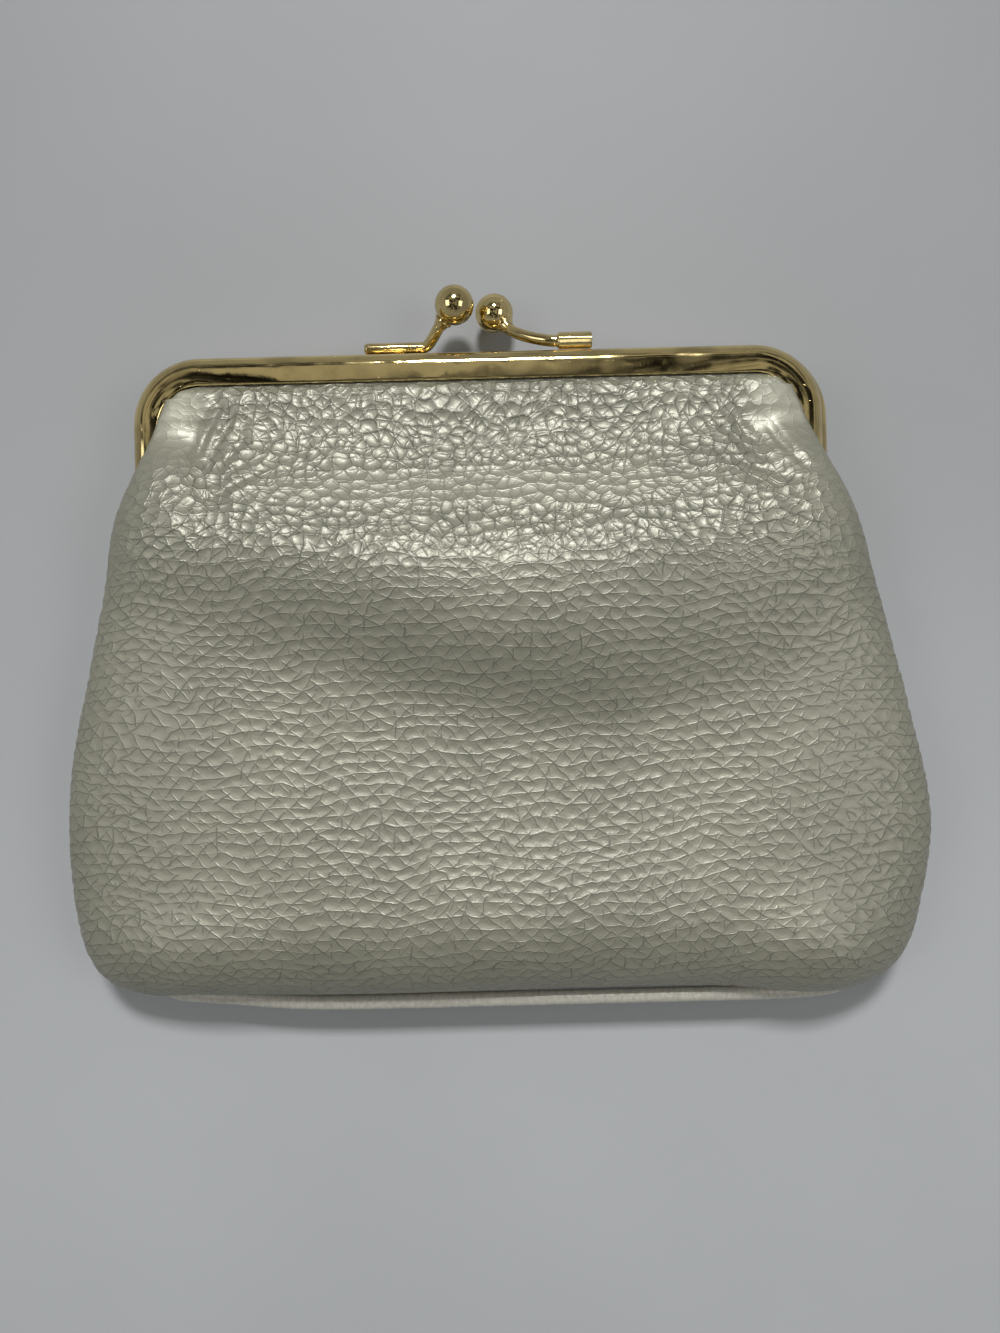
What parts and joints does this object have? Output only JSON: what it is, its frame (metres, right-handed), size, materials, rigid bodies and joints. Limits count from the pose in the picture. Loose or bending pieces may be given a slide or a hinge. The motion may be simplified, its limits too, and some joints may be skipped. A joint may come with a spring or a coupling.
{
  "type": "kiss lock coin purse",
  "caption": "Pebbled leather coin purse held in a folding metal frame that closes with a two-ball kiss clasp.",
  "frame": {"origin": "under the middle of the purse's bounding box, on the surface that its back panel lies on", "axes": "+X across the purse to the right, +Y from the bottom seam towards the clasp, +Z from the back panel up through the front panel"},
  "size_m": [0.168, 0.1412, 0.0246],
  "materials": {
    "pale_gold": "polished pale gold plating with fine scratches",
    "taupe_leather": "pebbled grain with a soft sheen",
    "lining": "matte woven lining cloth",
    "paper_cord": "twisted paper cord"
  },
  "bodies": {
    "back_half": {"back_frame": "pale_gold", "left_hinge_rivet": "pale_gold", "right_hinge_rivet": "pale_gold", "back_clasp_arm": "pale_gold", "back_clasp_collar": "pale_gold", "back_clasp_ball": "pale_gold", "back_packing_cord": "paper_cord", "back_panel": "taupe_leather", "back_lining": "lining", "front_panel": "taupe_leather", "front_lining": "lining", "front_panel_fold": "taupe_leather", "front_lining_fold": "lining", "bottom_piping": "taupe_leather", "bottom_piping_cord": "paper_cord"},
    "front_half": {"front_frame": "pale_gold", "front_clasp_arm": "pale_gold", "front_clasp_collar": "pale_gold", "front_clasp_ball": "pale_gold", "front_packing_cord": "paper_cord", "front_panel_top": "taupe_leather", "front_lining_top": "lining"}
  },
  "joints": [
    {"name": "frame_hinge", "type": "hinge", "parent": "back_half", "child": "front_half", "pos_m": [0, 0.02855, 0.009], "axis": [1, 0, 0], "range_deg": [0, 85], "deforming": ["front_panel_fold", "front_lining_fold"]}
  ]
}
